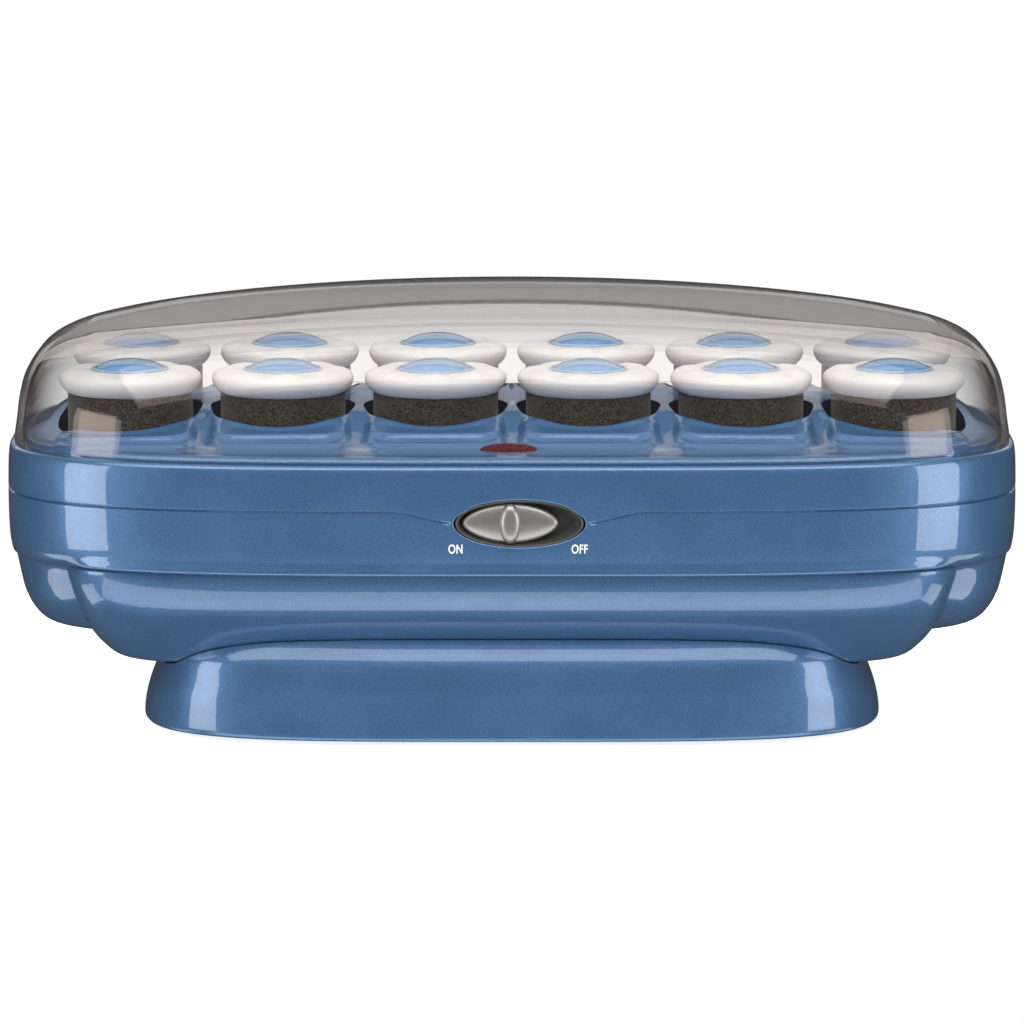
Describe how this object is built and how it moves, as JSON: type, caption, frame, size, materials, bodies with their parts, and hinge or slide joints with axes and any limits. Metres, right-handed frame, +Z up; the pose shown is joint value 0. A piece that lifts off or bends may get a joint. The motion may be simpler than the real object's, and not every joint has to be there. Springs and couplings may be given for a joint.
{
  "type": "heated hair roller set",
  "caption": "Heated hair roller set: flocked rollers stand on heated posts in a rounded plastic base under a smoked hinged lid, with a slide switch and pilot lamp.",
  "frame": {"origin": "on the table, under the middle of the set", "axes": "+X to the object's right seen from the front, -Y to the front with the switch, +Z up"},
  "size_m": [0.308, 0.164, 0.1295],
  "materials": {
    "pearl_blue": "metallic pearl blue moulding",
    "gloss_blue": "high gloss blue moulding",
    "dome_blue": "clear-coated blue disc",
    "smoked_clear": "smoked clear plastic",
    "flock": "short dense flocking",
    "cap_white": "satin warm white moulding",
    "satin_silver": "satin silver",
    "dark_plastic": "dark brown-grey moulding",
    "red_lens": "translucent dark red",
    "steel": "plain steel",
    "cast_aluminium": "as cast",
    "ceramic": "unglazed",
    "rubber": "matt black",
    "clear_glass": "clear glass envelope"
  },
  "bodies": {
    "base": {"deck": "gloss_blue", "upper_housing": "pearl_blue", "lower_casing": "pearl_blue", "pedestal": "pearl_blue", "rubber_foot_1": "rubber", "rubber_foot_2": "rubber", "rubber_foot_3": "rubber", "rubber_foot_4": "rubber", "casing_screw_left": "steel", "casing_screw_right": "steel", "hinge_pin_left": "steel", "hinge_pin_right": "steel", "lamp_lens": "red_lens", "neon_lamp": "clear_glass", "heater_tray": "cast_aluminium", "heating_element": "steel", "thermostat": "dark_plastic", "thermal_fuse": "ceramic", "terminal_block": "dark_plastic", "cord_bushing": "rubber", "switch_bezel": "dark_plastic", "switch_body": "dark_plastic"},
    "lid": {"lid": "smoked_clear"},
    "power_slider": {"power_slider": "satin_silver"},
    "roller_01": {"roller_01_barrel": "flock", "roller_01_cap": "cap_white", "roller_01_dome": "dome_blue"},
    "roller_02": {"roller_02_barrel": "flock", "roller_02_cap": "cap_white", "roller_02_dome": "dome_blue"},
    "roller_03": {"roller_03_barrel": "flock", "roller_03_cap": "cap_white", "roller_03_dome": "dome_blue"},
    "roller_04": {"roller_04_barrel": "flock", "roller_04_cap": "cap_white", "roller_04_dome": "dome_blue"},
    "roller_05": {"roller_05_barrel": "flock", "roller_05_cap": "cap_white", "roller_05_dome": "dome_blue"},
    "roller_06": {"roller_06_barrel": "flock", "roller_06_cap": "cap_white", "roller_06_dome": "dome_blue"},
    "roller_07": {"roller_07_barrel": "flock", "roller_07_cap": "cap_white", "roller_07_dome": "dome_blue"},
    "roller_08": {"roller_08_barrel": "flock", "roller_08_cap": "cap_white", "roller_08_dome": "dome_blue"},
    "roller_09": {"roller_09_barrel": "flock", "roller_09_cap": "cap_white", "roller_09_dome": "dome_blue"},
    "roller_10": {"roller_10_barrel": "flock", "roller_10_cap": "cap_white", "roller_10_dome": "dome_blue"},
    "roller_11": {"roller_11_barrel": "flock", "roller_11_cap": "cap_white", "roller_11_dome": "dome_blue"},
    "roller_12": {"roller_12_barrel": "flock", "roller_12_cap": "cap_white", "roller_12_dome": "dome_blue"}
  },
  "joints": [
    {"name": "lid_hinge", "type": "hinge", "parent": "base", "child": "lid", "pos_m": [0, 0.079, 0.0876], "axis": [-1, 0, 0], "range_deg": [0, 100]},
    {"name": "power_slide", "type": "slide", "parent": "base", "child": "power_slider", "axis": [1, 0, 0], "range_m": [0, 0.0055]},
    {"name": "roller_01_lift", "type": "slide", "parent": "base", "child": "roller_01", "axis": [0, 0, 1], "range_m": [0, 0.002]},
    {"name": "roller_02_lift", "type": "slide", "parent": "base", "child": "roller_02", "axis": [0, 0, 1], "range_m": [0, 0.002]},
    {"name": "roller_03_lift", "type": "slide", "parent": "base", "child": "roller_03", "axis": [0, 0, 1], "range_m": [0, 0.002]},
    {"name": "roller_04_lift", "type": "slide", "parent": "base", "child": "roller_04", "axis": [0, 0, 1], "range_m": [0, 0.002]},
    {"name": "roller_05_lift", "type": "slide", "parent": "base", "child": "roller_05", "axis": [0, 0, 1], "range_m": [0, 0.002]},
    {"name": "roller_06_lift", "type": "slide", "parent": "base", "child": "roller_06", "axis": [0, 0, 1], "range_m": [0, 0.002]},
    {"name": "roller_07_lift", "type": "slide", "parent": "base", "child": "roller_07", "axis": [0, 0, 1], "range_m": [0, 0.002]},
    {"name": "roller_08_lift", "type": "slide", "parent": "base", "child": "roller_08", "axis": [0, 0, 1], "range_m": [0, 0.002]},
    {"name": "roller_09_lift", "type": "slide", "parent": "base", "child": "roller_09", "axis": [0, 0, 1], "range_m": [0, 0.002]},
    {"name": "roller_10_lift", "type": "slide", "parent": "base", "child": "roller_10", "axis": [0, 0, 1], "range_m": [0, 0.002]},
    {"name": "roller_11_lift", "type": "slide", "parent": "base", "child": "roller_11", "axis": [0, 0, 1], "range_m": [0, 0.002]},
    {"name": "roller_12_lift", "type": "slide", "parent": "base", "child": "roller_12", "axis": [0, 0, 1], "range_m": [0, 0.002]}
  ]
}
